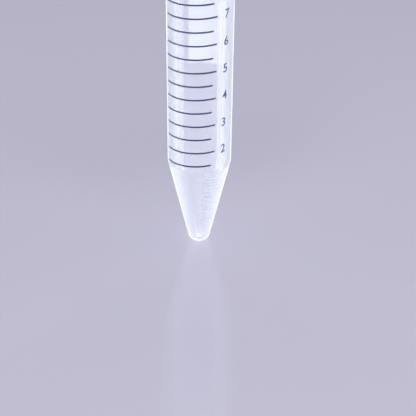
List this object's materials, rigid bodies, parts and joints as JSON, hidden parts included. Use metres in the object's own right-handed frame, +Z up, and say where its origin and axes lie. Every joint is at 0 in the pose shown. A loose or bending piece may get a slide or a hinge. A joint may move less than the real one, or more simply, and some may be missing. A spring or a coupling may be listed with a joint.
{
  "type": "conical test tube",
  "caption": "Graduated plastic tube with a conical tip, a support collar and a threaded neck, closed by a ribbed screw cap with a soft sealing disc.",
  "frame": {"origin": "centre of the tip, at the lowest point of the tube", "axes": "+Z up along the tube's axis, -Y is the front of the printed scale, +X is to its right"},
  "size_m": [0.0208, 0.0208, 0.1028],
  "materials": {
    "tube_plastic": "clear, slightly milky polypropylene",
    "scale_ink": "dark blue pad-printed ink",
    "panel_paint": "matt white print that takes a pencil",
    "disc_foam": "soft white elastomer",
    "cap_plastic": "satin moulded polyethylene"
  },
  "bodies": {
    "tube": {"tube_body": "tube_plastic", "mark_1_5": "scale_ink", "mark_2_0": "scale_ink", "mark_2_5": "scale_ink", "mark_3_0": "scale_ink", "mark_3_5": "scale_ink", "mark_4_0": "scale_ink", "mark_4_5": "scale_ink", "mark_5_0": "scale_ink", "mark_5_5": "scale_ink", "mark_6_0": "scale_ink", "mark_6_5": "scale_ink", "mark_7_0": "scale_ink", "mark_7_5": "scale_ink", "mark_8_0": "scale_ink", "mark_8_5": "scale_ink", "mark_9_0": "scale_ink", "mark_9_5": "scale_ink", "mark_10_0": "scale_ink", "numeral_2": "scale_ink", "numeral_3": "scale_ink", "numeral_4": "scale_ink", "numeral_5": "scale_ink", "numeral_6": "scale_ink", "numeral_7": "scale_ink", "numeral_8": "scale_ink", "numeral_9": "scale_ink", "numeral_10_one": "scale_ink", "numeral_10_zero": "scale_ink", "writing_panel": "panel_paint"},
    "disc": {"sealing_disc": "disc_foam"},
    "cap": {"screw_cap": "cap_plastic"}
  },
  "joints": [
    {"name": "cap_lift", "type": "slide", "parent": "tube", "child": "disc", "axis": [0, 0, 1], "range_m": [0, 0.012]},
    {"name": "cap_turn", "type": "hinge", "parent": "disc", "child": "cap", "pos_m": [0, 0, 0.08929], "axis": [0, 0, 1], "range_deg": [0, 1440]}
  ],
  "couplings": [
    {"joint": "cap_lift", "follows": "cap_turn", "m_per_rad": 0.00047746}
  ]
}
